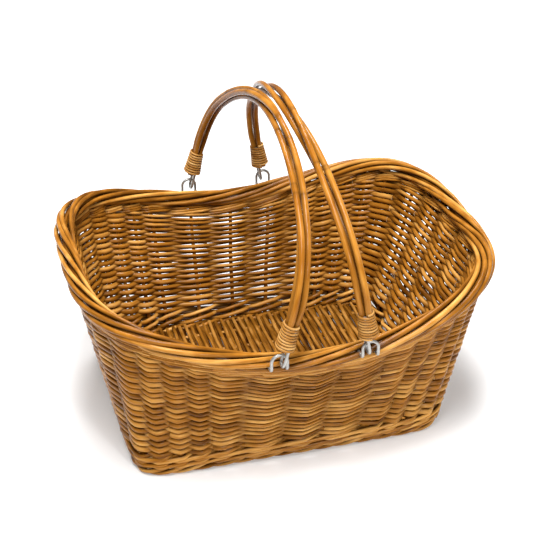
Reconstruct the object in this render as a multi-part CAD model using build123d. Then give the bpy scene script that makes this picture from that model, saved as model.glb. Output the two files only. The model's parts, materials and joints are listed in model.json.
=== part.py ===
"""Woven willow market basket with two swing handles.

The boat-shaped basket stands on its flat foot border.  X runs along the
basket's length, Y across it and Z up; the origin is on the ground under the
middle of the rim.  Each handle is a bow of three rods that swings on two wire
staples, one on each long side.  All sizes are in millimetres.
"""
from build123d import *
import os
from math import atan2, cos, degrees, hypot, pi, radians, sin

# ---- driving dimensions ----
RIM_HALF_LENGTH = 218.0       # to the middle of the rolled border
RIM_HALF_WIDTH = 187.0
RIM_EXPONENT = 3.3            # superellipse exponent: 2 is an ellipse, more is squarer
RIM_MID_HEIGHT = 151.5        # border centre at the middle of the long sides
RIM_END_RISE = 42.0           # how much higher the border is at the two ends
BORDER_RADIUS = 11.0

FOOT_HALF_LENGTH = 171.0
FOOT_HALF_WIDTH = 140.0
FOOT_EXPONENT = 8.0
FOOT_SHIFT = -11.0            # the base sits a little to the left under the rim
FOOT_HEIGHT = 12.0
FOOT_BORDER_WIDTH = 11.0

WALL_THICKNESS = 9.0          # a stake with a weaver on each side
WALING_THICKNESS = 12.0       # three-rod waling is thicker than the plain weave
LOWER_WALING_TOP = 28.0
UPPER_WALING_DEPTH = 6.0
BORDER_SEAT = 13.2            # the wall stops this far under the border's centre

STAKES_PER_QUARTER = 7
STAKE_RADIUS = 2.3
STAKE_END_GAP = 1.5           # between a stake's foot and the foot border
CORNER_STAKE_STEPS = (3.5, 4.5)   # places of the extra corner stakes, in stake pitches

FLOOR_BOTTOM = 2.5
FLOOR_TOP = 11.5
FLOOR_STICKS = 7
FLOOR_STICK_RADIUS = 3.5
FIT_CLEARANCE = 0.1
BAND_GAP = 0.3                # air between stacked bands of the weave

PIVOT_X = 46.7                # staples stand this far each side of the middle
PIVOT_Y = 203.0
PIVOT_Z = 165.5
WIRE_RADIUS = 1.6
STAPLE_RADIUS = 8.0
STAPLE_LEG = 9.5              # arch centre down to the bent ends
STAPLE_BEND = 3.0
STAPLE_TANG = 11.0            # bent end that is pushed into the rolled border

HANDLE_HEIGHT = 182.0         # pivot to the middle of the grip
HANDLE_LEG_START = 15.5       # rods start this far above the pivot
HANDLE_LEG_END = 46.0         # straight up to here, then the bow
HANDLE_HALF_SPAN = PIVOT_Y + 1.2
HANDLE_SIDE_RADIUS = 100.0
HANDLE_ROD_RADIUS = 3.7
LEFT_LEAN = 15.3              # degrees from upright, each towards the other handle
RIGHT_LEAN = 9.0
BINDING_TOP = 44.0
BINDING_RADIUS_LOW = 10.4
BINDING_RADIUS_HIGH = 9.6
HOOK_DEPTH = -3.0             # height of the hook's bend above the pivot axis

# ---- worked out from the above ----
ROD_PITCH = 2 * HANDLE_ROD_RADIUS + 2 * FIT_CLEARANCE
ROD_RING = ROD_PITCH / 3 ** 0.5
BUNDLE_RADIUS = ROD_RING + HANDLE_ROD_RADIUS
GROOVE_REACH = (HANDLE_ROD_RADIUS + WIRE_RADIUS + FIT_CLEARANCE) ** 2 - (ROD_PITCH / 2) ** 2
GROOVE_RING = ROD_RING / 2 + GROOVE_REACH ** 0.5
WALL_LINE_INSET = WALING_THICKNESS / 2 - 0.5
SECTION_POINTS = 4 * 10
ARC_SAMPLES = 400


def superellipse(half_x, half_y, exponent, angle):
    """The point of the outline in the direction of angle."""
    reach = (abs(cos(angle) / half_x) ** exponent + abs(sin(angle) / half_y) ** exponent)
    reach = reach ** (-1 / exponent)
    return reach * cos(angle), reach * sin(angle)


def even_outline(half_x, half_y, exponent, per_quarter):
    """Points at even steps along each quarter, anticlockwise from +X."""
    samples = [superellipse(half_x, half_y, exponent, pi / 2 * i / ARC_SAMPLES)
               for i in range(ARC_SAMPLES + 1)]
    travelled = [0.0]
    for a, b in zip(samples, samples[1:]):
        travelled.append(travelled[-1] + hypot(b[0] - a[0], b[1] - a[1]))
    quarter = []
    j = 0
    for step in range(per_quarter + 1):
        target = travelled[-1] * step / per_quarter
        while j < ARC_SAMPLES - 1 and travelled[j + 1] < target:
            j += 1
        part = (target - travelled[j]) / (travelled[j + 1] - travelled[j])
        a, b = samples[j], samples[j + 1]
        quarter.append((a[0] + part * (b[0] - a[0]), a[1] + part * (b[1] - a[1])))
    mirrored = [(-x, y) for x, y in reversed(quarter)][1:]
    upper = quarter + mirrored
    lower = [(x, -y) for x, y in reversed(upper)][1:-1]
    return upper + lower


def rim_height(x):
    """Height of the border's centre: low at mid-length, raised at the ends."""
    along = min(abs(x) / RIM_HALF_LENGTH, 1.0)
    return RIM_MID_HEIGHT + RIM_END_RISE * (1.45 * along ** 1.8 - 0.45 * along ** 5)


def stake_line(per_quarter, index):
    """Foot and rim ends of one ruling of the wall's middle surface."""
    foot = even_outline(FOOT_HALF_LENGTH - WALL_LINE_INSET, FOOT_HALF_WIDTH - WALL_LINE_INSET,
                        FOOT_EXPONENT, per_quarter)[index]
    rim = even_outline(RIM_HALF_LENGTH, RIM_HALF_WIDTH, RIM_EXPONENT, per_quarter)[index]
    return (Vector(foot[0] + FOOT_SHIFT, foot[1], 0),
            Vector(rim[0], rim[1], rim_height(rim[0])))


WALL_RULINGS = [stake_line(SECTION_POINTS // 4, i) for i in range(SECTION_POINTS)]


def wall_section(height, offset):
    """Closed level outline of the wall at a height, moved outward by offset."""
    points = [foot + (rim - foot) * (height / rim.Z) for foot, rim in WALL_RULINGS]
    moved = []
    for i, point in enumerate(points):
        along = points[(i + 1) % len(points)] - points[i - 1]
        outward = Vector(along.Y, -along.X, 0).normalized()
        moved.append(point + outward * offset)
    return Wire([Edge.make_spline(moved, periodic=True)])


def wall_core(offset, low, high):
    sections = [wall_section(low, offset), wall_section(high, offset)]
    return Solid.make_loft(sections, ruled=True)


def wall_shell(thickness, low, high):
    """Open ring of wall between two levels, centred on the wall's surface."""
    return wall_core(thickness / 2, low, high) - wall_core(-thickness / 2, low - 1, high + 1)


def rim_slab(low_drop, high_drop):
    """Everything between two depths under the border's curved centre line."""
    reach = RIM_HALF_LENGTH + 40
    count = 24
    xs = [-reach + 2 * reach * i / count for i in range(count + 1)]
    low_edge = Edge.make_spline([Vector(x, 0, rim_height(x) - low_drop) for x in xs])
    high_edge = Edge.make_spline([Vector(x, 0, rim_height(x) - high_drop) for x in xs])
    ends = [Edge.make_line(low_edge @ end, high_edge @ end) for end in (0, 1)]
    profile = Face(Wire([low_edge, ends[1], high_edge, ends[0]]))
    return extrude(profile, 2 * RIM_HALF_WIDTH + 80, dir=(0, 1, 0)).moved(
        Location((0, -RIM_HALF_WIDTH - 40, 0)))


def foot_outline(inset):
    points = even_outline(FOOT_HALF_LENGTH - inset, FOOT_HALF_WIDTH - inset, FOOT_EXPONENT,
                          SECTION_POINTS // 4)
    loop = [Vector(x + FOOT_SHIFT, y, 0) for x, y in points]
    return Face(Wire([Edge.make_spline(loop, periodic=True)]))


def rod(start, end, radius):
    """Straight round rod between two points."""
    direction = end - start
    plane = Plane(origin=start, z_dir=direction)
    return plane * Cylinder(radius, direction.length, align=(Align.CENTER, Align.CENTER, Align.MIN))


def tube(path, radius):
    start = path @ 0
    section = Plane(origin=start, z_dir=path % 0) * Circle(radius)
    return sweep(section, path=path)


# ---- basket body ----
def make_foot_border():
    ring = foot_outline(0) - foot_outline(FOOT_BORDER_WIDTH)
    return extrude(ring, FOOT_HEIGHT, dir=(0, 0, 1))


def floor_stick_places():
    inner_width = FOOT_HALF_WIDTH - FOOT_BORDER_WIDTH
    pitch = 2 * inner_width / FLOOR_STICKS
    return [(i - (FLOOR_STICKS - 1) / 2) * pitch for i in range(FLOOR_STICKS)]


def make_floor_sticks(extra_radius=0.0, extra_length=0.0):
    height = (FLOOR_BOTTOM + FLOOR_TOP) / 2
    inner_length = FOOT_HALF_LENGTH - FOOT_BORDER_WIDTH
    sticks = []
    for y in floor_stick_places():
        across = (abs(y) + FLOOR_STICK_RADIUS) / (FOOT_HALF_WIDTH - FOOT_BORDER_WIDTH)
        half = inner_length * (1 - across ** FOOT_EXPONENT) ** (1 / FOOT_EXPONENT) - 1.0
        half = half + extra_length
        sticks.append(rod(Vector(FOOT_SHIFT - half, y, height), Vector(FOOT_SHIFT + half, y, height),
                          FLOOR_STICK_RADIUS + extra_radius))
    return Compound(children=sticks)


def make_floor_weave():
    slab = extrude(foot_outline(FOOT_BORDER_WIDTH + BAND_GAP), FLOOR_TOP - FLOOR_BOTTOM,
                   dir=(0, 0, 1)).moved(Location((0, 0, FLOOR_BOTTOM)))
    for channel in make_floor_sticks(FIT_CLEARANCE, 30.0).solids():
        slab = slab - channel
    return slab


def make_lower_waling():
    return wall_shell(WALING_THICKNESS, FOOT_HEIGHT + BAND_GAP, LOWER_WALING_TOP)


def make_side_weave():
    tall = RIM_MID_HEIGHT + RIM_END_RISE
    shell = wall_shell(WALL_THICKNESS, LOWER_WALING_TOP + BAND_GAP, tall)
    return shell & rim_slab(tall, BORDER_SEAT + UPPER_WALING_DEPTH + BAND_GAP)


def make_upper_waling():
    tall = RIM_MID_HEIGHT + RIM_END_RISE
    shell = wall_shell(WALING_THICKNESS, LOWER_WALING_TOP, tall)
    return shell & rim_slab(BORDER_SEAT + UPPER_WALING_DEPTH, BORDER_SEAT)


def wall_rod(step):
    """One stake on the ruling that is step stake pitches round from +X."""
    fine = 2
    index = round(step * fine)
    foot, rim = stake_line(STAKES_PER_QUARTER * fine, index)
    rise = rim - foot
    start = foot + rise * ((FOOT_HEIGHT + STAKE_END_GAP) / rim.Z)
    end = foot + rise * ((rim.Z - BORDER_SEAT) / rim.Z)
    return rod(start, end, STAKE_RADIUS)


def make_side_stakes():
    return Compound(children=[wall_rod(i) for i in range(4 * STAKES_PER_QUARTER)])


def make_corner_stakes():
    turn = 2 * STAKES_PER_QUARTER
    rods = []
    for step in CORNER_STAKE_STEPS:
        for place in (step, turn - step, turn + step, 2 * turn - step):
            rods.append(wall_rod(place))
    return Compound(children=rods)


def make_rim_border():
    """Round rolled border, swept as a back half and a front half and joined."""
    outline = even_outline(RIM_HALF_LENGTH, RIM_HALF_WIDTH, RIM_EXPONENT, SECTION_POINTS // 4)
    loop = [Vector(x, y, rim_height(x)) for x, y in outline]
    half = SECTION_POINTS // 2
    back = Edge.make_spline(loop[:half + 1], tangents=[(0, 1, 0), (0, -1, 0)])
    front = Edge.make_spline(loop[half:] + loop[:1], tangents=[(0, -1, 0), (0, 1, 0)])
    return tube(back, BORDER_RADIUS) + tube(front, BORDER_RADIUS)


def make_staple(x, side):
    """Wire arch round the pivot axis, with its bent ends in the rolled border."""
    y = side * PIVOT_Y
    r = STAPLE_RADIUS
    low = PIVOT_Z - STAPLE_LEG
    path = [Edge.make_three_point_arc(Vector(x - r, y, PIVOT_Z), Vector(x, y, PIVOT_Z + r),
                                      Vector(x + r, y, PIVOT_Z))]
    bend = STAPLE_BEND
    slack = bend * (1 - cos(pi / 4))
    for leg_x in (x - r, x + r):
        top = Vector(leg_x, y, PIVOT_Z)
        knee = Vector(leg_x, y, low + bend)
        mid = Vector(leg_x, y - side * slack, low + slack)
        turn = Vector(leg_x, y - side * bend, low)
        tip = Vector(leg_x, y - side * (bend + STAPLE_TANG), low)
        path.append(Edge.make_line(top, knee))
        path.append(Edge.make_three_point_arc(knee, mid, turn))
        path.append(Edge.make_line(turn, tip))
    wire = Wire(path)
    return tube(wire, WIRE_RADIUS)


# ---- handles ----
def bow_path(offset, sideways):
    """Bow in its own plane: X across the basket, Y up the handle from the pivot."""
    span = HANDLE_HALF_SPAN
    arch = HANDLE_HEIGHT - HANDLE_LEG_END
    small = HANDLE_SIDE_RADIUS
    large = (span ** 2 + arch ** 2 - 2 * span * small) / (2 * (arch - small))
    large_centre = HANDLE_HEIGHT - large
    split = degrees(atan2(HANDLE_LEG_END - large_centre, span - small))
    z = sideways
    edge = span + offset
    leg_start = HANDLE_LEG_START
    right_leg = Edge.make_line((edge, leg_start, z), (edge, HANDLE_LEG_END, z))
    left_leg = Edge.make_line((-edge, HANDLE_LEG_END, z), (-edge, leg_start, z))

    def arc(centre, radius, start, stop):
        points = [(centre[0] + radius * cos(radians(a)), centre[1] + radius * sin(radians(a)), z)
                  for a in (start, (start + stop) / 2, stop)]
        return Edge.make_three_point_arc(*[Vector(*p) for p in points])

    shoulder = arc((span - small, HANDLE_LEG_END), small + offset, 0, split)
    crown = arc((0, large_centre), large + offset, split, 180 - split)
    far_shoulder = arc((small - span, HANDLE_LEG_END), small + offset, 180 - split, 180)
    return Wire([right_leg, shoulder, crown, far_shoulder, left_leg])


def handle_plane(side, lean):
    """Plane of a bow; its +Z faces the other handle."""
    up = Vector(-side * sin(radians(lean)), 0, cos(radians(lean)))
    across = Vector(0, -side, 0)
    return Plane(origin=(side * PIVOT_X, 0, PIVOT_Z), x_dir=across, z_dir=across.cross(up))


def make_handle_rods(plane):
    """Three rods in a triangle: one towards the other handle, two behind it."""
    rods = []
    for angle in (90, 210, 330):
        offset = ROD_RING * cos(radians(angle))
        sideways = ROD_RING * sin(radians(angle))
        rods.append(plane * tube(bow_path(offset, sideways), HANDLE_ROD_RADIUS))
    return rods


def make_binding(plane, end):
    """Tapered sleeve of wound cane round one end of the bow."""
    length = BINDING_TOP - HANDLE_LEG_START
    inner = BUNDLE_RADIUS + FIT_CLEARANCE
    start = Plane(origin=(end * HANDLE_HALF_SPAN, HANDLE_LEG_START, 0), z_dir=(0, 1, 0))
    base = (Align.CENTER, Align.CENTER, Align.MIN)
    sleeve = Cone(BINDING_RADIUS_LOW, BINDING_RADIUS_HIGH, length, align=base)
    sleeve = sleeve - Cylinder(inner, length, align=base)
    return plane * (start * sleeve)


def make_hook(plane, end):
    """Narrow U of wire: its bend hangs in the staple, its legs lie in the rods' grooves."""
    half = GROOVE_RING * cos(radians(30))
    sideways = GROOVE_RING * sin(radians(30))
    centre = end * HANDLE_HALF_SPAN
    bend_height = HOOK_DEPTH + half
    top = BINDING_TOP - 2.0
    left_leg = Edge.make_line((centre - half, top, sideways), (centre - half, bend_height, sideways))
    bend = Edge.make_three_point_arc(Vector(centre - half, bend_height, sideways),
                                     Vector(centre, HOOK_DEPTH, sideways),
                                     Vector(centre + half, bend_height, sideways))
    right_leg = Edge.make_line((centre + half, bend_height, sideways), (centre + half, top, sideways))
    return plane * tube(Wire([left_leg, bend, right_leg]), WIRE_RADIUS)


def make_handle(name, side, lean):
    plane = handle_plane(side, lean)
    nodes = {}
    for number, piece in enumerate(make_handle_rods(plane), start=1):
        nodes[f"{name}_rod_{number}"] = piece
    for label, y_side in (("front", -1), ("back", 1)):
        end = -side * y_side
        nodes[f"{name}_{label}_binding"] = make_binding(plane, end)
        nodes[f"{name}_{label}_hook"] = make_hook(plane, end)
    return nodes


def make_nodes():
    nodes = {
        "foot_border": make_foot_border(),
        "floor_sticks": make_floor_sticks(),
        "floor_weave": make_floor_weave(),
        "lower_waling": make_lower_waling(),
        "side_stakes": make_side_stakes(),
        "corner_stakes": make_corner_stakes(),
        "side_weave": make_side_weave(),
        "upper_waling": make_upper_waling(),
        "rim_border": make_rim_border(),
    }
    for side_name, side in (("left", -1), ("right", 1)):
        for face_name, face in (("front", -1), ("back", 1)):
            nodes[f"{side_name}_{face_name}_staple"] = make_staple(side * PIVOT_X, face)
    nodes.update(make_handle("left_handle", -1, LEFT_LEAN))
    nodes.update(make_handle("right_handle", 1, RIGHT_LEAN))
    return nodes


def main():
    os.makedirs("parts", exist_ok=True)
    for name, shape in make_nodes().items():
        export_step(shape, f"parts/{name}.step")


main()
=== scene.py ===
"""Looks of the woven market basket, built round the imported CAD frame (metres)."""

import json
import math
import random

import bpy
import numpy as np
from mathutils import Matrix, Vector


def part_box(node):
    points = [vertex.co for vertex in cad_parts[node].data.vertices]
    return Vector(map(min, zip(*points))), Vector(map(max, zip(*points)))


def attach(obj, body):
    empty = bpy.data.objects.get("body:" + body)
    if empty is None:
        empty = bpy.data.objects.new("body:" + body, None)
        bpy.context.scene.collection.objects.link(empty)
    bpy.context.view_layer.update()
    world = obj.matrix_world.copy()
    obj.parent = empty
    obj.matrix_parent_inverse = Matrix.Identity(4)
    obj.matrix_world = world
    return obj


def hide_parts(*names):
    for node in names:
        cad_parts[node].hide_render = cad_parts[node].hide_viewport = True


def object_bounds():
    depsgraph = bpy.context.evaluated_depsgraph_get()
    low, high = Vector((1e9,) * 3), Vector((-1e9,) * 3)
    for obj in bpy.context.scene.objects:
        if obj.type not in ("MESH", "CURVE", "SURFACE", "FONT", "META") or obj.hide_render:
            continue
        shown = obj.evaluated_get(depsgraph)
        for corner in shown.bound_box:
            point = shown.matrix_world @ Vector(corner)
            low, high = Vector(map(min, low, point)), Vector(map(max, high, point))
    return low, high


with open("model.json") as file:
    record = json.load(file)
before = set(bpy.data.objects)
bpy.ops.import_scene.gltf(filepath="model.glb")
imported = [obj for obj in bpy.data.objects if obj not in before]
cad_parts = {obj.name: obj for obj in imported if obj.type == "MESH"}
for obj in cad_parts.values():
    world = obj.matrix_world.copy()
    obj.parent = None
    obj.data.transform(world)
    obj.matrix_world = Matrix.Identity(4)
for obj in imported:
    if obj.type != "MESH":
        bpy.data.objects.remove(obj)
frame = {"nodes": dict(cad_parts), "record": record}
cad_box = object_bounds()
random.seed(7)

MM = 0.001
UP = (0.0, 0.0, 1.0)

# ---- sizes that repeat the CAD's own shape rules ----
RIM_EXPONENT = 3.3
BORDER_RADIUS = 11.0 * MM
LOWER_WALING_TOP = 28.0 * MM
WALL_LINE_INSET = 5.5 * MM
FOOT_BORDER_WIDTH = 11.0 * MM
STAKES_PER_QUARTER = 7
STAKES = 4 * STAKES_PER_QUARTER
CORNER_STAKES = (3.5, 4.5, 9.5, 10.5, 17.5, 18.5, 23.5, 24.5)
FLOOR_STICKS = 7
FLOOR_STICK_RADIUS = 3.5 * MM

HANDLE_HEIGHT = 182.0 * MM
HANDLE_LEG_START = 15.5 * MM
HANDLE_LEG_END = 46.0 * MM
HANDLE_SIDE_RADIUS = 100.0 * MM
HANDLE_ROD_RADIUS = 3.7 * MM
ROD_RING = 4.388 * MM          # middle of the bow to the middles of its three rods
BINDING_TOP = 44.0 * MM

FOOT_LOOKS_EXPONENT = 12.0     # the rods turn the foot's corners more sharply than the CAD
OUTLINE_SAMPLES = 1200         # along a quarter of an outline


# ================= curves of the basket =================
rim_low, rim_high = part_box("rim_border")
foot_low, foot_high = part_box("foot_border")
RIM_HALF_LENGTH = (rim_high.x - rim_low.x) / 2 - BORDER_RADIUS
RIM_HALF_WIDTH = (rim_high.y - rim_low.y) / 2 - BORDER_RADIUS
RIM_MID_HEIGHT = rim_low.z + BORDER_RADIUS
RIM_END_RISE = (rim_high.z - BORDER_RADIUS) - RIM_MID_HEIGHT
FOOT_HALF_LENGTH = (foot_high.x - foot_low.x) / 2
FOOT_HALF_WIDTH = (foot_high.y - foot_low.y) / 2
FOOT_CENTRE_X = (foot_high.x + foot_low.x) / 2
FOOT_HEIGHT = foot_high.z


def rim_height(x):
    """Height of the border's centre: low at mid-length, raised at the ends."""
    along = np.minimum(np.abs(x) / RIM_HALF_LENGTH, 1.0)
    return RIM_MID_HEIGHT + RIM_END_RISE * (1.45 * along ** 1.8 - 0.45 * along ** 5)


class Outline:
    """Superellipse read by stake number: the stakes of a quarter are equally far apart."""

    def __init__(self, half_x, half_y, exponent):
        angle = np.linspace(0, math.pi / 2, OUTLINE_SAMPLES)
        reach = (np.abs(np.cos(angle) / half_x) ** exponent
                 + np.abs(np.sin(angle) / half_y) ** exponent) ** (-1 / exponent)
        x = reach * np.cos(angle)
        y = reach * np.sin(angle)
        step = np.hypot(np.diff(x), np.diff(y))
        travelled = np.concatenate([[0.0], np.cumsum(step)])
        part = travelled / travelled[-1]
        self.part = np.concatenate([part, 2 - part[-2::-1], 2 + part[1:], 4 - part[-2::-1]])
        self.x = np.concatenate([x, -x[-2::-1], -x[1:], x[-2::-1]])
        self.y = np.concatenate([y, y[-2::-1], -y[1:], -y[-2::-1]])

    def at(self, stake):
        part = np.mod(np.asarray(stake, float) / STAKES_PER_QUARTER, 4.0)
        return np.interp(part, self.part, self.x), np.interp(part, self.part, self.y)


rim_outline = Outline(RIM_HALF_LENGTH, RIM_HALF_WIDTH, RIM_EXPONENT)
wall_foot_outline = Outline(FOOT_HALF_LENGTH - WALL_LINE_INSET, FOOT_HALF_WIDTH - WALL_LINE_INSET,
                            FOOT_LOOKS_EXPONENT)

# every upright stake in turn, the extra corner ones among them
STAKE_PLACES = sorted(list(range(STAKES)) + list(CORNER_STAKES))
UPRIGHTS = len(STAKE_PLACES)


def stake_number(upright):
    """Stake number (28 a turn) of a place counted in uprights (36 a turn)."""
    turns = np.floor(np.asarray(upright, float) / UPRIGHTS)
    rest = upright - turns * UPRIGHTS
    return np.interp(rest, np.arange(UPRIGHTS + 1), STAKE_PLACES + [STAKES]) + turns * STAKES


def rim_point(stake):
    x, y = rim_outline.at(stake)
    return np.stack([x, y, rim_height(x)], -1)


def foot_point(stake):
    x, y = wall_foot_outline.at(stake)
    return np.stack([x + FOOT_CENTRE_X, y, np.zeros_like(x)], -1)


def unit(vectors):
    return vectors / np.maximum(np.linalg.norm(vectors, axis=-1, keepdims=True), 1e-12)


def wall_frame(stake, height):
    """Point of the wall's middle at a stake number and height, and its outward direction."""
    stake = np.asarray(stake, float)

    def middle(place):
        rim = rim_point(place)
        foot = foot_point(place)
        return foot + (rim - foot) * (height / rim[..., 2])[..., None]

    nudge = 0.15
    along = middle(stake + nudge) - middle(stake - nudge)
    rising = rim_point(stake) - foot_point(stake)
    return middle(stake), unit(np.cross(along, rising))


# ================= rods =================
CREVICE_PAINTED_SHADE = 0.85           # painted shade: how dark the hidden side of a rod is painted, in the crevices
PAINTED_SHADE_START = 0.5            # cosine of the turn from the exposed side where the painted shade starts


class Rods:
    """Collects round rods and turns them into one mesh object."""

    def __init__(self):
        self.points = []
        self.faces = []
        self.smooth = []
        self.grain = []
        self.tone = []
        self.mark = []
        self.cut = []
        self.count = 0

    def add(self, path, radius, reference, sides=8, flat=1.0, tone=None, mark=0.0, exposed=None,
            painted_shade=CREVICE_PAINTED_SHADE):
        """One rod along path. Its cross-section is turned by a reference direction.

        The side that faces away from the exposed direction lies in a crevice and is painted darker, as
        painted shade.
        """
        path = np.asarray(path, float)
        n = len(path)
        radius = np.broadcast_to(np.asarray(radius, float), (n,))
        tangent = unit(np.gradient(path, axis=0))
        reference = np.broadcast_to(np.asarray(reference, float), (n, 3))
        side = unit(np.cross(reference, tangent))
        up = np.cross(tangent, side)
        angle = np.arange(sides) * (2 * math.pi / sides)
        ring_side = np.cos(angle)[None, :, None] * side[:, None, :]
        ring_up = np.sin(angle)[None, :, None] * up[:, None, :]
        flat = np.broadcast_to(np.asarray(flat, float), (n,))[:, None, None]
        ring = path[:, None, :] + (ring_side + ring_up * flat) * radius[:, None, None]
        travelled = np.concatenate([[0.0], np.cumsum(np.linalg.norm(np.diff(path, axis=0), axis=1))])

        # each rod starts somewhere else in the grain
        seed = random.random()
        tone = seed if tone is None else tone
        grain = np.zeros((n, sides, 3))
        grain[..., 0] = travelled[:, None] + 11.0 * seed
        grain[..., 1] = radius[:, None] * np.cos(angle)[None, :] + 3.0 * seed
        grain[..., 2] = radius[:, None] * np.sin(angle)[None, :]
        marks = np.broadcast_to(np.reshape(mark, (-1, 1)), (n, sides))
        # painted shade: the side turned away from the exposed direction is darkened through the mark
        # attribute
        if exposed is not None:
            exposed = np.broadcast_to(np.asarray(exposed, float), (n, 3))
            facing = np.einsum("nsk,nk->ns", ring_side + ring_up, exposed)
            marks = np.clip(marks + painted_shade * np.clip(PAINTED_SHADE_START - facing, 0, 1), 0, 1)

        a = np.arange(sides)
        b = (a + 1) % sides
        rows = self.count + np.arange(n - 1)[:, None] * sides
        quads = np.stack([rows + a, rows + b, rows + b + sides, rows + a + sides], -1)
        self.store(ring, grain, tone, marks.ravel(), 0.0)
        self.faces.extend(quads.reshape(-1, 4).tolist())
        self.smooth.extend([True] * (sides * (n - 1)))
        for end, order in ((0, a[::-1]), (n - 1, a)):
            cap = self.count
            self.store(ring[end], grain[end], tone, np.zeros(sides), 1.0)
            self.faces.append((cap + order).tolist())
            self.smooth.append(False)

    def store(self, ring, grain, tone, mark, cut):
        points = ring.reshape(-1, 3)
        self.points.append(points)
        self.grain.append(grain.reshape(-1, 3))
        self.tone.append(np.full(len(points), tone))
        self.mark.append(mark)
        self.cut.append(np.full(len(points), cut))
        self.count += len(points)

    def build(self, name, material):
        mesh = bpy.data.meshes.new(name)
        mesh.from_pydata(np.concatenate(self.points).tolist(), [], self.faces)
        mesh.polygons.foreach_set("use_smooth", self.smooth)
        grain = mesh.attributes.new("grain", "FLOAT_VECTOR", "POINT")
        grain.data.foreach_set("vector", np.concatenate(self.grain).ravel())
        for label, values in (("tone", self.tone), ("mark", self.mark), ("cut", self.cut)):
            attribute = mesh.attributes.new(label, "FLOAT", "POINT")
            attribute.data.foreach_set("value", np.concatenate(values))
        mesh.materials.append(material)
        mesh.update()
        piece = bpy.data.objects.new(name, mesh)
        bpy.context.scene.collection.objects.link(piece)
        return piece


def wobble(place, size, waves=(0.37, 0.83, 1.7)):
    """Smooth uneven wander along a rod."""
    total = np.zeros_like(np.asarray(place, float))
    for wave in waves:
        total = total + np.sin(place * wave + random.uniform(0, 2 * math.pi)) / len(waves)
    return size * total


# ================= materials =================
# dark colour of the knots, and also of the painted shade in the rods' crevices
KNOT_AND_PAINTED_SHADE_COLOUR = (0.045, 0.015, 0.002)
CUT_COLOUR = (0.72, 0.55, 0.33)
FIBRE_SCALE = (28.0, 900.0, 900.0)     # waves of noise in a metre: along the rod, then across
BLOTCH_SCALE = (34.0, 120.0, 120.0)
ROUGHNESS_SPREAD = 0.2


def new_material(name):
    material = bpy.data.materials.new(name)
    material.use_nodes = True
    nodes = material.node_tree.nodes
    nodes.clear()
    output = nodes.new("ShaderNodeOutputMaterial")
    shader = nodes.new("ShaderNodeBsdfPrincipled")
    material.node_tree.links.new(shader.outputs["BSDF"], output.inputs["Surface"])
    return material, shader


def add_node(material, kind, **settings):
    node = material.node_tree.nodes.new(kind)
    for key, value in settings.items():
        setattr(node, key, value)
    return node


def join(material, a, b):
    material.node_tree.links.new(a, b)


def weigh(material, source, gain, base):
    """Output of source * gain + base."""
    node = add_node(material, "ShaderNodeMath", operation="MULTIPLY_ADD")
    join(material, source, node.inputs[0])
    node.inputs[1].default_value = gain
    node.inputs[2].default_value = base
    return node.outputs[0]


def plus(material, a, b):
    node = add_node(material, "ShaderNodeMath", operation="ADD")
    join(material, a, node.inputs[0])
    join(material, b, node.inputs[1])
    return node.outputs[0]


def add_noise(material, place, scale, detail):
    noise = add_node(material, "ShaderNodeTexNoise")
    noise.inputs["Scale"].default_value = scale
    noise.inputs["Detail"].default_value = detail
    join(material, place, noise.inputs["Vector"])
    return noise.outputs["Fac"]


def grain_noise(material, scales, detail):
    """Noise that runs along the rod, stretched by its own scale in each direction."""
    grain = add_node(material, "ShaderNodeAttribute", attribute_name="grain")
    stretch = add_node(material, "ShaderNodeMapping")
    stretch.inputs["Scale"].default_value = scales
    join(material, grain.outputs["Vector"], stretch.inputs["Vector"])
    return add_noise(material, stretch.outputs["Vector"], 1.0, detail)


def add_bump(material, shader, height, strength, distance):
    bump = add_node(material, "ShaderNodeBump")
    bump.inputs["Strength"].default_value = strength
    bump.inputs["Distance"].default_value = distance
    join(material, height, bump.inputs["Height"])
    join(material, bump.outputs["Normal"], shader.inputs["Normal"])


def willow_material(name, dark, middle, light, roughness=0.25):
    """Stained willow: tone differs from rod to rod, with grain and blotches along each rod."""
    material, shader = new_material(name)
    tone = add_node(material, "ShaderNodeAttribute", attribute_name="tone").outputs["Fac"]
    fibres = grain_noise(material, FIBRE_SCALE, 3.0)
    blotches = grain_noise(material, BLOTCH_SCALE, 2.0)

    # place on the colour ramp: mostly blotches, then the fibres and the rod's own tone
    mix_in = plus(material, weigh(material, tone, 0.45, 0.1),
                  plus(material, weigh(material, blotches, 1.05, -0.42),
                       weigh(material, fibres, 0.5, -0.18)))
    ramp = add_node(material, "ShaderNodeValToRGB")
    stops = ramp.color_ramp.elements
    stops[0].position = 0.05
    stops[0].color = (*dark, 1)
    stops[1].position = 0.95
    stops[1].color = (*light, 1)
    centre = stops.new(0.5)
    centre.color = (*middle, 1)
    join(material, mix_in, ramp.inputs["Fac"])

    colour = ramp.outputs["Color"]
    # mark holds dark knots and the painted shade in crevices; cut holds the paler cut ends
    for label, paint in (("mark", KNOT_AND_PAINTED_SHADE_COLOUR), ("cut", CUT_COLOUR)):
        amount = add_node(material, "ShaderNodeAttribute", attribute_name=label)
        blend = add_node(material, "ShaderNodeMix", data_type="RGBA")
        join(material, amount.outputs["Fac"], blend.inputs["Factor"])
        join(material, colour, blend.inputs["A"])
        blend.inputs["B"].default_value = (*paint, 1)
        colour = blend.outputs["Result"]
    join(material, colour, shader.inputs["Base Color"])

    rough = weigh(material, blotches, ROUGHNESS_SPREAD, roughness - ROUGHNESS_SPREAD / 2)
    join(material, rough, shader.inputs["Roughness"])
    relief = plus(material, weigh(material, fibres, 0.6, 0.0), weigh(material, blotches, 1.0, 0.0))
    add_bump(material, shader, relief, 0.35, 0.4 * MM)
    shader.inputs["Specular IOR Level"].default_value = 0.13
    return material


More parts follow.
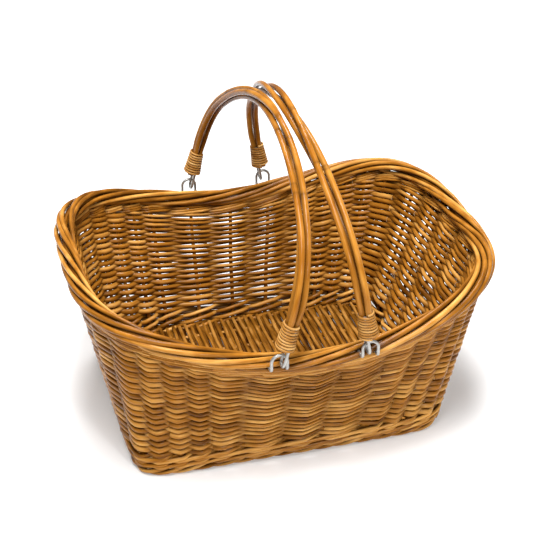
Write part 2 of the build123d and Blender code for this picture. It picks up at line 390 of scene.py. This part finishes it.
def wire_material():
    """Zinc-plated wire, dull and slightly uneven."""
    material, shader = new_material("zinc_wire")
    place = add_node(material, "ShaderNodeTexCoord")
    noise = add_noise(material, place.outputs["Object"], 420.0, 3.0)
    ramp = add_node(material, "ShaderNodeValToRGB")
    ramp.color_ramp.elements[0].color = (0.27, 0.265, 0.25, 1)
    ramp.color_ramp.elements[1].color = (0.52, 0.51, 0.485, 1)
    join(material, noise, ramp.inputs["Fac"])
    join(material, ramp.outputs["Color"], shader.inputs["Base Color"])
    join(material, weigh(material, noise, 0.3, 0.25), shader.inputs["Roughness"])
    add_bump(material, shader, noise, 0.15, 0.3 * MM)
    shader.inputs["Metallic"].default_value = 0.75
    return material


WILLOW = willow_material(
    "willow", dark=(0.09, 0.027, 0.001), middle=(0.34, 0.13, 0.013), light=(0.66, 0.345, 0.085))
FLOOR_WILLOW = willow_material(
    "floor_willow", dark=(0.035, 0.010, 0.001), middle=(0.23, 0.088, 0.009),
    light=(0.52, 0.255, 0.06))
# the stakes are painted darker than the weavers, as painted shade in the crevices between the rows
SHADED_STAKE_WILLOW = willow_material(
    "stake_willow_painted_shade", dark=(0.07, 0.021, 0.002), middle=(0.19, 0.062, 0.007),
    light=(0.34, 0.145, 0.026))
HANDLE_WILLOW = willow_material(
    "handle_willow", dark=(0.11, 0.034, 0.003), middle=(0.28, 0.099, 0.008),
    light=(0.49, 0.215, 0.033), roughness=0.22)
BINDING_WILLOW = willow_material(
    "binding_willow", dark=(0.11, 0.038, 0.006), middle=(0.34, 0.148, 0.028),
    light=(0.74, 0.46, 0.17))
WIRE = wire_material()


# ================= wall =================
# TAPER is a rod's thick and thin end against its middle, SPREAD and TONE are how far thickness
# and tone differ from rod to rod, and WANDER is how far a rod strays from its true line.
STAKE_RADIUS = 2.3 * MM
STAKE_TAPER = (1.12, 0.92)
STAKE_TOP_INSET = 7.26 * MM    # stakes end inside the border
STAKE_WANDER = 0.03            # in stake pitches
STAKE_SAMPLES = 22
SAMPLES_PER_UPRIGHT = 8
ROD_OVERLAP = 0.375            # a rod goes on this far past its cut at each end, in uprights

WEAVE_ROWS = 38
WEAVERS_PER_ROW = 5
WEAVE_TOP_INSET = 17.5 * MM    # top row to the middle of the border
WEAVER_RADIUS_LOW = 2.05 * MM
WEAVER_RADIUS_HIGH = 1.58 * MM
WEAVER_TAPER = (1.16, 0.84)
WEAVER_SPREAD = (0.94, 1.08)
WEAVER_WANDER = 0.55 * MM
WEAVER_BULGE = 1.22            # the weavers stand off the stakes a little
STAKE_PUSH = (0.85, 1.15)      # some stakes hold the weavers out more than others
FAN_BULGE_POWER = 0.6          # where the rows fan out, the weavers bulge less
FAN_HEIGHT_POWER = 0.7         # and are taller than they are deep
ROW_BUNCHING = 0.18            # rows get closer together towards the rim
CREASE = 0.975                 # 1 would bend the weavers sharply at the uprights

WALING_RODS = 3                # rods that work together in one row
WALING_PIECES = 3              # joined end to end to go round the basket
WALING_TAPER = (1.1, 0.88)
WALING_SPREAD = (0.92, 1.06)
WALING_TONE = (0.0, 1.25)
WALING_WANDER = 0.3 * MM
WALING_CLIMB = 1.6             # of a waling rod on each stroke, in its own radius
LOWER_WALING_ROWS = 2
LOWER_WALING_RADIUS = 2.35 * MM
LOWER_WALING_SINK = 1 * MM     # its first row starts this far down beside the foot border
UPPER_WALING_ROWS = 3
UPPER_WALING_RADIUS = 1.6 * MM
UPPER_WALING_DROP = 8.5 * MM   # below the middle of the border
UPPER_WALING_BAND = 8.5 * MM   # height of its rows together


def ride_basket(piece, *nodes):
    """The piece moves with the basket's body in place of the CAD nodes."""
    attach(piece, "basket")
    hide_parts(*nodes)


def rod_lengths(pieces, overlap):
    """Places where each of the unevenly cut rods of one ring starts and ends, in uprights."""
    start = random.randrange(UPRIGHTS)
    size = UPRIGHTS / pieces
    cuts = [start + round(i * size + random.uniform(-1, 1)) for i in range(pieces)]
    cuts.append(cuts[0] + UPRIGHTS)
    return [(cuts[i] - overlap, cuts[i + 1] + overlap) for i in range(pieces)]


def sampled(start, end):
    """Even samples of one rod, with one at every upright."""
    return np.linspace(start, end, round((end - start) * SAMPLES_PER_UPRIGHT) + 1)


def tapered(radius, count, taper, spread):
    """Radius along one rod, from its thick end to its thin end."""
    return radius * np.linspace(*taper, count) * random.uniform(*spread)


def crossing(upright):
    """Plain weave: +1 at even uprights, -1 at odd ones, with the bends at the uprights."""
    return np.arcsin(CREASE * np.cos(math.pi * upright)) / math.asin(CREASE)


def make_side_weave():
    rods = Rods()
    stake_push = np.array([random.uniform(*STAKE_PUSH) for _ in range(UPRIGHTS)])
    push_loop = np.append(stake_push, stake_push[0])
    low_depth = RIM_MID_HEIGHT - WEAVE_TOP_INSET - LOWER_WALING_TOP
    for row in range(WEAVE_ROWS):
        part = (row + 0.5) / WEAVE_ROWS
        rise = part + ROW_BUNCHING * part * (1 - part)
        radius_here = WEAVER_RADIUS_LOW + (WEAVER_RADIUS_HIGH - WEAVER_RADIUS_LOW) * part
        for start, end in rod_lengths(WEAVERS_PER_ROW, ROD_OVERLAP):
            upright = sampled(start, end)
            stake = stake_number(upright)
            x, _ = rim_outline.at(stake)
            depth = rim_height(x) - WEAVE_TOP_INSET - LOWER_WALING_TOP
            height = LOWER_WALING_TOP + rise * depth
            # the rows fan out towards the basket's high ends, and the weavers get thicker there
            fan = depth / low_depth
            push = np.interp(np.mod(upright, UPRIGHTS), np.arange(UPRIGHTS + 1), push_loop)
            wave = crossing(upright + row)
            radius = tapered(radius_here, len(upright), WEAVER_TAPER, WEAVER_SPREAD) * fan
            outward = wave * (STAKE_RADIUS + radius_here) * WEAVER_BULGE * push / fan ** FAN_BULGE_POWER
            height = height + wobble(upright, WEAVER_WANDER)
            centre, normal = wall_frame(stake, height)
            rods.add(centre + normal * outward[:, None], radius, UP, flat=fan ** FAN_HEIGHT_POWER,
                     exposed=normal * wave[:, None])
    ride_basket(rods.build("side_weave_rods", WILLOW), "side_weave")


def make_stakes():
    rods = Rods()
    for place in STAKE_PLACES:
        x, _ = rim_outline.at(place)
        heights = np.linspace(FOOT_HEIGHT / 2, float(rim_height(x)) - STAKE_TOP_INSET, STAKE_SAMPLES)
        stakes = place + wobble(heights * 40, STAKE_WANDER)
        path, normal = wall_frame(stakes, heights)
        rods.add(path, np.linspace(*STAKE_TAPER, STAKE_SAMPLES) * STAKE_RADIUS, normal)
    ride_basket(rods.build("stake_rods", SHADED_STAKE_WILLOW), "side_stakes", "corner_stakes")


def waling_wave(place):
    """Three-rod waling: outside two stakes, inside one. Returns offset and climb, -1 to 1."""
    x = np.mod(place + 0.5, 3.0)
    outside = np.clip(np.sin(math.pi * np.clip(x, 0, 2) / 2) * 1.9, 0, 1)
    inside = -np.clip(np.sin(math.pi * np.clip(x - 2, 0, 1)) * 1.6, 0, 1)
    offset = np.where(x < 2, outside, inside)
    climb = np.where(x < 2, x - 1, 1 - 2 * (x - 2))
    return offset, climb


def make_waling(name, node, rows, radius, band):
    """Rows of three-rod waling; band(stake, part) gives the height of each row."""
    rods = Rods()
    for row in range(rows):
        for phase in range(WALING_RODS):
            for start, end in rod_lengths(WALING_PIECES, ROD_OVERLAP):
                upright = sampled(start, end)
                stake = stake_number(upright)
                offset, climb = waling_wave(upright + phase + row)
                height = band(stake, (row + 0.5) / rows) + climb * radius * WALING_CLIMB
                height = height + wobble(upright, WALING_WANDER)
                outward = offset * (STAKE_RADIUS + radius)
                size = tapered(radius, len(upright), WALING_TAPER, WALING_SPREAD)
                centre, normal = wall_frame(stake, height)
                tone = random.uniform(*WALING_TONE)
                rods.add(centre + normal * outward[:, None], size, UP, tone=tone,
                         exposed=normal * offset[:, None])
    ride_basket(rods.build(name, WILLOW), node)


def lower_band(stake, part):
    """Level rows, the same height at every stake."""
    return FOOT_HEIGHT - LOWER_WALING_SINK + (LOWER_WALING_TOP - FOOT_HEIGHT) * part


def upper_band(stake, part):
    """Rows that follow the border."""
    x, _ = rim_outline.at(stake)
    return rim_height(x) - UPPER_WALING_DROP - UPPER_WALING_BAND * (1 - part)


# ================= borders =================
OUTLINE_STEP = 0.1             # stake pitches between two points that give an outline's direction

BORDER_ROD_RADIUS = 2.75 * MM
BORDER_ROD_SPAN = 6.5          # stakes that one border rod passes
BORDER_SPAN_SPREAD = 0.3
BORDER_START_SPREAD = 0.12     # in stake pitches
BORDER_ROD_SAMPLES = 74
BORDER_TAPER = (1.1, 0.84)
BORDER_SPREAD = (0.9, 1.1)
BORDER_TONE = (-0.05, 1.0)
BORDER_REACH = 8.5 * MM        # half width and half height of the roll, to the rods' middles
BORDER_RISE = 6.8 * MM
BORDER_START = -85.0           # degrees round the roll, from straight outward
BORDER_TURN = 335.0
BORDER_TURN_WANDER = 9.0
BORDER_RING_WANDER = 0.05
BUTT_DIVE = (0.1, 0.6)         # share of a rod over which its start sinks in, and how far
TIP_DIVE = (0.06, 0.35)
BORDER_CORE_RADIUS = 4.2 * MM
BORDER_CORE_TONE = -0.4

FOOT_STRANDS = 4
FOOT_RODS_PER_STRAND = 4
FOOT_ROD_OVERLAP = 0.25
FOOT_ROD_RADIUS = 2.4 * MM
FOOT_TAPER = (1.0, 0.85)
FOOT_TONE = (-0.2, 1.1)
FOOT_ROD_SAMPLES = 140
FOOT_TURNS = 13                # of the strands round each other, all the way round the foot
FOOT_WIDENING = 1.1            # the twist is wider than it is high
FOOT_TWIST_OUTSET = 1 * MM     # its middle stands this far outside the middle of the CAD's border


def rim_frame(stake):
    """Centre, outward and upward directions of the rolled border."""
    centre = rim_point(stake)
    along = unit(rim_point(stake + OUTLINE_STEP) - rim_point(stake - OUTLINE_STEP))
    outward = unit(np.cross(along, np.broadcast_to(UP, along.shape)))
    upward = np.cross(outward, along)
    return centre, outward, upward


def dive(t, share, depth):
    """How far one end of a rod sinks into the roll; t is 0 at that end."""
    return np.clip(1 - t / share, 0, 1) ** 2 * depth


def make_rim_border():
    """From every stake a rod rolls once round the border, and both its ends dive inside."""
    rods = Rods()
    t = np.linspace(0, 1, BORDER_ROD_SAMPLES)
    sink = dive(t, *BUTT_DIVE) + dive(1 - t, *TIP_DIVE)
    for k in range(STAKES):
        span = BORDER_ROD_SPAN + random.uniform(-BORDER_SPAN_SPREAD, BORDER_SPAN_SPREAD)
        stake = k + random.uniform(-BORDER_START_SPREAD, BORDER_START_SPREAD) + t * span
        turn = np.radians(BORDER_START + BORDER_TURN * t + wobble(t * 8, BORDER_TURN_WANDER))
        ring = 1 - sink + wobble(t * 9, BORDER_RING_WANDER)
        centre, outward, upward = rim_frame(stake)
        reach = BORDER_REACH * ring * np.cos(turn)
        rise = BORDER_RISE * ring * np.sin(turn)
        path = centre + outward * reach[:, None] + upward * rise[:, None]
        exposed = outward * np.cos(turn)[:, None] + upward * np.sin(turn)[:, None]
        radius = tapered(BORDER_ROD_RADIUS, BORDER_ROD_SAMPLES, BORDER_TAPER, BORDER_SPREAD)
        rods.add(path, radius, UP, sides=10, tone=random.uniform(*BORDER_TONE), exposed=exposed)
    core = rim_point(np.linspace(0, STAKES, 8 * STAKES))
    rods.add(core, BORDER_CORE_RADIUS, UP, tone=BORDER_CORE_TONE)
    ride_basket(rods.build("rim_border_rods", WILLOW), "rim_border")


def make_foot_border():
    """Strands that twist round each other under the wall's foot."""
    rods = Rods()
    inset = FOOT_BORDER_WIDTH / 2 - FOOT_TWIST_OUTSET
    line = Outline(FOOT_HALF_LENGTH - inset, FOOT_HALF_WIDTH - inset, FOOT_LOOKS_EXPONENT)
    ring = FOOT_HEIGHT / 2 - FOOT_ROD_RADIUS
    for strand in range(FOOT_STRANDS):
        for start, end in rod_lengths(FOOT_RODS_PER_STRAND, FOOT_ROD_OVERLAP):
            stake = stake_number(np.linspace(start, end, FOOT_ROD_SAMPLES))
            x, y = line.at(stake)
            next_x, next_y = line.at(stake + OUTLINE_STEP)
            along = unit(np.stack([next_x - x, next_y - y, 0 * x], -1))
            outward = np.stack([along[:, 1], -along[:, 0], 0 * x], -1)
            turn = 2 * math.pi * (FOOT_TURNS * stake / STAKES + strand / FOOT_STRANDS)
            path = np.stack([x + FOOT_CENTRE_X, y, np.full_like(x, FOOT_HEIGHT / 2)], -1)
            path = path + outward * (ring * FOOT_WIDENING * np.cos(turn))[:, None]
            path[:, 2] += ring * np.sin(turn)
            exposed = outward * np.cos(turn)[:, None] + np.outer(np.sin(turn), UP)
            tone = random.uniform(*FOOT_TONE)
            radius = FOOT_ROD_RADIUS * np.linspace(*FOOT_TAPER, FOOT_ROD_SAMPLES)
            rods.add(path, radius, UP, sides=10, tone=tone, exposed=exposed)
    ride_basket(rods.build("foot_border_rods", WILLOW), "foot_border")


# ================= floor =================
FLOOR_STICK_LOOKS_RADIUS = 3.0 * MM
FLOOR_STICK_REACH = 4 * MM     # the sticks' ends go into the foot border
FLOOR_STICK_DROP = 1.2 * MM
FLOOR_STICK_SAMPLES = 40
FLOOR_ROD_PITCH = 3.8 * MM
FLOOR_ROD_RADIUS = 2.3 * MM
FLOOR_ROD_SAMPLES = 90
FLOOR_TOP_SPREAD = (0.9, 1.12)
FLOOR_TOP_TONE = (0.2, 0.9)
FLOOR_LOW_SIZE = 1.5           # the low rods fill the gaps between the top ones
# the low rods are painted darker than the top ones, as painted shade in the gaps between them
FLOOR_LOW_SHADE_TONE = (-0.4, 0.1)
FLOOR_WAVE = 0.9 * MM          # how much a floor rod rises and dips at the sticks
FLOOR_TOP_LAYER = 2.1 * MM     # above the floor's middle
FLOOR_LOW_LAYER = -1.9 * MM
FLOOR_ROD_WANDER = 0.8 * MM


def make_floor():
    """Sticks along the floor, and rods across it that fill the space inside the wall."""
    low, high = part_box("floor_weave")
    middle = (low.z + high.z) / 2
    stick_low, stick_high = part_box("floor_sticks")
    half_sticks = (stick_high.y - stick_low.y) / 2 - FLOOR_STICK_RADIUS
    places = np.linspace(-half_sticks, half_sticks, FLOOR_STICKS)
    pitch = places[1] - places[0]
    sticks = Rods()
    for y in places:
        xs = np.linspace(stick_low.x - FLOOR_STICK_REACH, stick_high.x + FLOOR_STICK_REACH,
                         FLOOR_STICK_SAMPLES)
        ys = y + wobble(xs * 60, FLOOR_ROD_WANDER)
        path = np.stack([xs, ys, np.full_like(xs, middle - FLOOR_STICK_DROP)], -1)
        sticks.add(path, FLOOR_STICK_LOOKS_RADIUS, UP)
    ride_basket(sticks.build("floor_stick_rods", FLOOR_WILLOW), "floor_sticks")

    weave = Rods()
    half_length = FOOT_HALF_LENGTH - WALL_LINE_INSET
    half_width = FOOT_HALF_WIDTH - WALL_LINE_INSET
    count = int(2 * half_length / FLOOR_ROD_PITCH)
    for i in range(count):
        top_layer = i % 2 == 1
        x = (i + 0.5 - count / 2) * FLOOR_ROD_PITCH
        share = 1 - (abs(x) / half_length) ** FOOT_LOOKS_EXPONENT
        reach = half_width * share ** (1 / FOOT_LOOKS_EXPONENT)
        ys = np.linspace(-reach, reach, FLOOR_ROD_SAMPLES)
        layer = FLOOR_TOP_LAYER if top_layer else FLOOR_LOW_LAYER
        wave = np.cos(math.pi * ((ys - places[0]) / pitch + i / 2))
        z = middle + layer + wave * FLOOR_WAVE
        xs = FOOT_CENTRE_X + x + wobble(ys * 50, FLOOR_ROD_WANDER)
        tone = random.uniform(*(FLOOR_TOP_TONE if top_layer else FLOOR_LOW_SHADE_TONE))
        size = FLOOR_ROD_RADIUS * (random.uniform(*FLOOR_TOP_SPREAD) if top_layer else FLOOR_LOW_SIZE)
        weave.add(np.stack([xs, ys, z], -1), size, (1, 0, 0), tone=tone, exposed=UP)
    ride_basket(weave.build("floor_weave_rods", FLOOR_WILLOW), "floor_weave")


# ================= handles =================
LEG_SAMPLES = 24
SHOULDER_SAMPLES = 60
CROWN_SAMPLES = 80
BOW_SAMPLES = 260              # evenly spaced along the whole bow
HANDLE_TWIST = 240.0           # degrees that the three rods turn about each other
ROD_SPREAD = 0.4 * MM          # the rods lie a little further apart than in the CAD
ROD_WANDER = 0.2 * MM
SPLAY = 1.3 * MM               # one rod stands off most a little above each binding
SPLAY_PLACE = 26 * MM
SPLAY_WIDTH = 20 * MM
PINCH = 0.9 * MM               # the bindings pull the rods together
PINCH_WIDTH = 9 * MM
BARE_ROD_SIZE = 0.89           # between knots, against the CAD's rod
ROD_UNEVENNESS = 0.03
KNOT_SIZE = 0.07
KNOT_WIDTH = 0.006             # in shares of the bow's length
KNOT_STAIN = 0.6
KNOTS_PER_ROD = 3
KNOT_PLACES = (0.15, 0.85)
SHARED_KNOT = 0.735            # all three rods have a knot here
HANDLE_PAINTED_SHADE = 0.4             # the handles get less painted shade in their crevices

BINDING_TURNS = 9
BINDING_SAMPLES_PER_TURN = 40
BINDING_HALF_DEPTH = 1.25 * MM
BINDING_WIDTH_RATIO = 1.06
BINDING_END_INSET = 1.7 * MM
BINDING_RING = 7.55 * MM       # middle of the wound cane at the top of the binding
BINDING_FLARE = 2.2 * MM       # how much wider it is at the foot
BINDING_FLARE_POWER = 1.3
BINDING_HOLLOW = 0.6 * MM      # it sinks in between the three rods
BINDING_WANDER = 0.15 * MM
BINDING_TONE = (0.45, 0.7)
TWIST_MARGIN = 4 * MM          # the rods run straight this far past a binding

joints = {joint["name"]: joint for joint in frame["record"]["behaviour"]["joints"]}


class Bow:
    """Line of a handle in its own plane, the same shape for both handles."""

    def __init__(self):
        low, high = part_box("left_handle_rod_1")
        span = (high.y - low.y) / 2 - HANDLE_ROD_RADIUS
        arch = HANDLE_HEIGHT - HANDLE_LEG_END
        small = HANDLE_SIDE_RADIUS
        large = (span ** 2 + arch ** 2 - 2 * span * small) / (2 * (arch - small))
        centre = HANDLE_HEIGHT - large
        split = math.atan2(HANDLE_LEG_END - centre, span - small)
        leg = np.linspace(HANDLE_LEG_START, HANDLE_LEG_END, LEG_SAMPLES)[:-1]
        shoulder = np.linspace(0, split, SHOULDER_SAMPLES)[:-1]
        crown = np.linspace(split, math.pi / 2, CROWN_SAMPLES)
        across = np.concatenate([np.full_like(leg, span), span - small + small * np.cos(shoulder),
                                 large * np.cos(crown)])
        height = np.concatenate([leg, HANDLE_LEG_END + small * np.sin(shoulder),
                                 centre + large * np.sin(crown)])
        across = np.concatenate([across, -across[-2::-1]])
        height = np.concatenate([height, height[-2::-1]])
        travelled = np.concatenate([[0], np.cumsum(np.hypot(np.diff(across), np.diff(height)))])
        part = travelled / travelled[-1]
        self.span = span
        self.length = travelled[-1]
        self.share = np.linspace(0, 1, BOW_SAMPLES)
        self.across = np.interp(self.share, part, across)
        self.height = np.interp(self.share, part, height)
        tangent = unit(np.gradient(np.stack([self.across, self.height], -1), axis=0))
        self.out_across = tangent[:, 1]
        self.out_height = -tangent[:, 0]


class HandlePlane:
    """Plane of one handle's bow, placed at its pivot and leaning towards the other handle."""

    def __init__(self, name, side):
        # the first rod's box gives the lean
        low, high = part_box(f"{name}_rod_1")
        lean = math.atan2(high.x - low.x - 2 * HANDLE_ROD_RADIUS,
                          high.z - low.z - 2 * HANDLE_ROD_RADIUS)
        self.pivot = np.array(joints[f"{name}_swing"]["pos_m"], float)
        self.up = np.array([-side * math.sin(lean), 0, math.cos(lean)])
        self.across = np.array([0.0, -side, 0.0])
        self.sideways = np.cross(self.across, self.up)

    def direction(self, across, up, sideways):
        return (np.multiply.outer(across, self.across) + np.multiply.outer(up, self.up)
                + np.multiply.outer(sideways, self.sideways))

    def point(self, across, up, sideways):
        return self.pivot + self.direction(across, up, sideways)


def make_handle(name, side):
    """Three rods that turn slowly about each other, and a binding at each end."""
    bow = Bow()
    plane = HandlePlane(name, side)
    share = bow.share
    bound = BINDING_TOP - HANDLE_LEG_START
    # the twist starts and ends softly
    still = (bound + TWIST_MARGIN) / bow.length
    ease = np.clip((share - still) / (1 - 2 * still), 0, 1)
    ease = ease * ease * (3 - 2 * ease)
    clear = np.minimum(share, 1 - share) * bow.length - bound
    splay = SPLAY * np.exp(-((clear - SPLAY_PLACE) / SPLAY_WIDTH) ** 2)
    pinch = PINCH * np.exp(-(clear / PINCH_WIDTH) ** 2)
    for number, angle in enumerate((90, 210, 330), start=1):
        turn = np.radians(angle - side * HANDLE_TWIST * ease)
        ring = ROD_RING + ROD_SPREAD - pinch + ROD_WANDER * np.sin(share * 19 + number)
        if number == 2:
            ring = ring + splay
        path = plane.point(bow.across + bow.out_across * ring * np.cos(turn),
                           bow.height + bow.out_height * ring * np.cos(turn), ring * np.sin(turn))
        exposed = plane.direction(bow.out_across * np.cos(turn), bow.out_height * np.cos(turn),
                                  np.sin(turn))
        knots = [random.uniform(*KNOT_PLACES) for _ in range(KNOTS_PER_ROD)] + [SHARED_KNOT]
        lump = sum(np.exp(-((share - knot) / KNOT_WIDTH) ** 2) for knot in knots)
        uneven = ROD_UNEVENNESS * np.sin(share * 23 + 2 * number)
        radius = HANDLE_ROD_RADIUS * (BARE_ROD_SIZE + uneven + KNOT_SIZE * lump)
        mark = KNOT_STAIN * lump * (np.sin(share * 900) * 0.3 + 0.7)
        rods = Rods()
        rods.add(path, radius, plane.sideways, sides=16, tone=0.3 + 0.2 * number, mark=mark,
                 exposed=exposed, painted_shade=HANDLE_PAINTED_SHADE)
        piece = rods.build(f"{name}_rod_{number}_looks", HANDLE_WILLOW)
        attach(piece, name)
        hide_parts(f"{name}_rod_{number}")
    for label, y_side in (("front", -1), ("back", 1)):
        make_binding(name, label, plane, -side * y_side * bow.span)


def make_binding(name, label, plane, place):
    """Split rod wound tightly round the end of the bow, wider towards its foot."""
    start = HANDLE_LEG_START + BINDING_END_INSET
    t = np.linspace(0, 1, BINDING_TURNS * BINDING_SAMPLES_PER_TURN)
    angle = 2 * math.pi * BINDING_TURNS * t
    # degrees from the nearest of the three rods, which stand at 90, 210 and 330
    from_rod = np.mod(np.degrees(angle) - 90 + 60, 120) - 60
    ring = (BINDING_RING + BINDING_FLARE * (1 - t) ** BINDING_FLARE_POWER
            - BINDING_HOLLOW * (from_rod / 60) ** 2)
    height = start + t * (BINDING_TOP - start) + wobble(t * 60, BINDING_WANDER)
    path = plane.point(place + ring * np.cos(angle), height, ring * np.sin(angle))
    exposed = plane.direction(np.cos(angle), 0 * angle, np.sin(angle))
    rods = Rods()
    rods.add(path, BINDING_HALF_DEPTH, plane.up, sides=10, flat=BINDING_WIDTH_RATIO,
             tone=random.uniform(*BINDING_TONE), exposed=exposed)
    piece = rods.build(f"{name}_{label}_binding_looks", BINDING_WILLOW)
    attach(piece, name)
    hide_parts(f"{name}_{label}_binding")


def finish_wires():
    """Staples and hooks keep their CAD shape and get the wire's material."""
    for side in ("left", "right"):
        for label in ("front", "back"):
            for node in (f"{side}_{label}_staple", f"{side}_handle_{label}_hook"):
                for slot in frame["nodes"][node].material_slots:
                    slot.link = "OBJECT"
                    slot.material = WIRE


# ================= build =================
make_side_weave()
make_stakes()
make_waling("lower_waling_rods", "lower_waling", LOWER_WALING_ROWS, LOWER_WALING_RADIUS, lower_band)
make_waling("upper_waling_rods", "upper_waling", UPPER_WALING_ROWS, UPPER_WALING_RADIUS, upper_band)
make_rim_border()
make_foot_border()
make_floor()
make_handle("left_handle", -1)
make_handle("right_handle", 1)
finish_wires()


# ================= stage, light and camera =================
STAGE_HALF_SIZE = 6.0
LIGHT_AIM = (0, 0, 0.12)

CAMERA_AZIMUTH = math.radians(-15.67)
CAMERA_ELEVATION = math.radians(29.8)
CAMERA_DISTANCE = 1.508
CAMERA_LENS = 88.7
CAMERA_SENSOR = 36.0
CAMERA_AIM = (0.006, 0.001, -0.034)    # from the middle of the CAD's box


def make_stage():
    mesh = bpy.data.meshes.new("floor_plane")
    half = STAGE_HALF_SIZE
    corners = [(-half, -half, 0), (half, -half, 0), (half, half, 0), (-half, half, 0)]
    mesh.from_pydata(corners, [], [(0, 1, 2, 3)])
    floor = bpy.data.objects.new("studio_floor", mesh)
    bpy.context.scene.collection.objects.link(floor)
    material, shader = new_material("studio_floor")
    shader.inputs["Base Color"].default_value = (0.7, 0.7, 0.7, 1)
    shader.inputs["Roughness"].default_value = 0.9
    shader.inputs["Specular IOR Level"].default_value = 0.0
    shader.inputs["Emission Color"].default_value = (1, 1, 1, 1)
    shader.inputs["Emission Strength"].default_value = 0.2
    mesh.materials.append(material)


def add_area_light(name, place, size, power):
    data = bpy.data.lights.new(name, "AREA")
    data.shape = "DISK"
    data.size = size
    data.energy = power
    light = bpy.data.objects.new(name, data)
    light.location = place
    light.rotation_mode = "QUATERNION"
    light.rotation_quaternion = (Vector(LIGHT_AIM) - Vector(place)).to_track_quat("-Z", "Y")
    bpy.context.scene.collection.objects.link(light)


def make_lights():
    add_area_light("key", (-0.55, -0.95, 2.1), 0.8, 34)
    add_area_light("top", (-0.1, -0.4, 2.4), 0.8, 58)
    add_area_light("back", (0.1, 0.95, 1.8), 0.7, 30)
    add_area_light("front", (0.3, -1.8, 1.25), 0.28, 16)
    add_area_light("fill", (1.8, -0.8, 0.9), 1.0, 2)
    world = bpy.data.worlds.new("studio")
    world.use_nodes = True
    background = world.node_tree.nodes["Background"]
    background.inputs["Color"].default_value = (1, 1, 1, 1)
    background.inputs["Strength"].default_value = 0.18
    bpy.context.scene.world = world


def make_camera():
    low, high = cad_box
    aim = (low + high) / 2 + Vector(CAMERA_AIM)
    back = Vector((math.sin(CAMERA_AZIMUTH) * math.cos(CAMERA_ELEVATION),
                   -math.cos(CAMERA_AZIMUTH) * math.cos(CAMERA_ELEVATION),
                   math.sin(CAMERA_ELEVATION)))
    data = bpy.data.cameras.new("camera")
    data.lens = CAMERA_LENS
    data.sensor_width = CAMERA_SENSOR
    camera = bpy.data.objects.new("camera", data)
    camera.location = aim + back * CAMERA_DISTANCE
    camera.rotation_mode = "QUATERNION"
    camera.rotation_quaternion = (-back).to_track_quat("-Z", "Y")
    bpy.context.scene.collection.objects.link(camera)
    bpy.context.scene.camera = camera


make_stage()
make_lights()
make_camera()
bpy.context.scene.view_settings.view_transform = "Standard"
